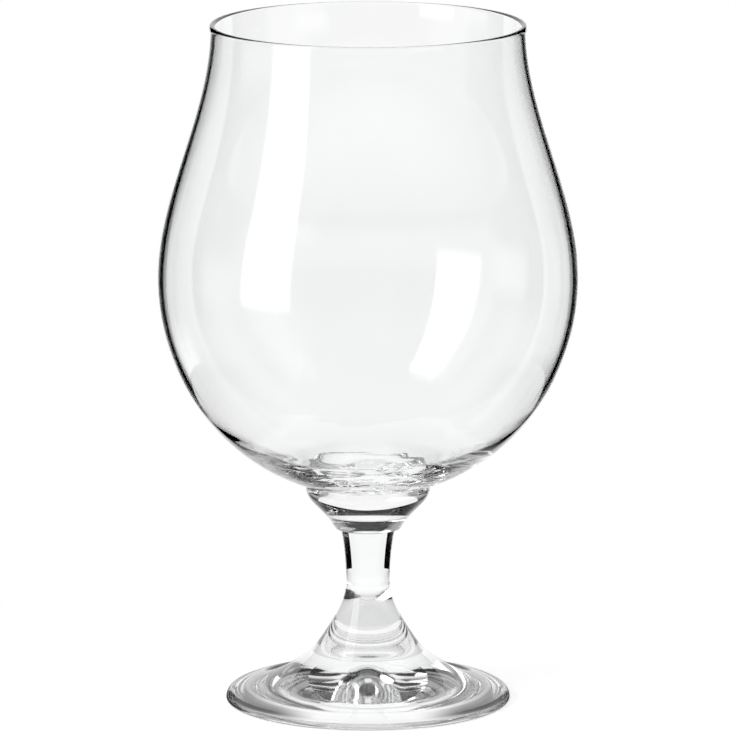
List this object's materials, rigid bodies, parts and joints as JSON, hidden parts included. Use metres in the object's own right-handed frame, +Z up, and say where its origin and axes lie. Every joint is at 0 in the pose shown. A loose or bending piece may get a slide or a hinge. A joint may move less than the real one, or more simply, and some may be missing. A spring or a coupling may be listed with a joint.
{
  "type": "chalice beer glass",
  "caption": "Stemmed beer glass: round-bellied clear bowl drawn in to a narrower mouth, on a short waisted stem and a wide round foot. Holds a poured drink and stands on a table.",
  "frame": {"origin": "middle of the plane that the foot rests on", "axes": "+Z up along the axis of the glass, from the foot to the mouth; the glass is round about Z"},
  "size_m": [0.0954, 0.0954, 0.156],
  "materials": {
    "clear_glass": "clear colourless soda glass, fire-polished"
  },
  "bodies": {
    "root": {"bowl": "clear_glass", "collar": "clear_glass", "stem": "clear_glass", "foot": "clear_glass"}
  },
  "joints": []
}
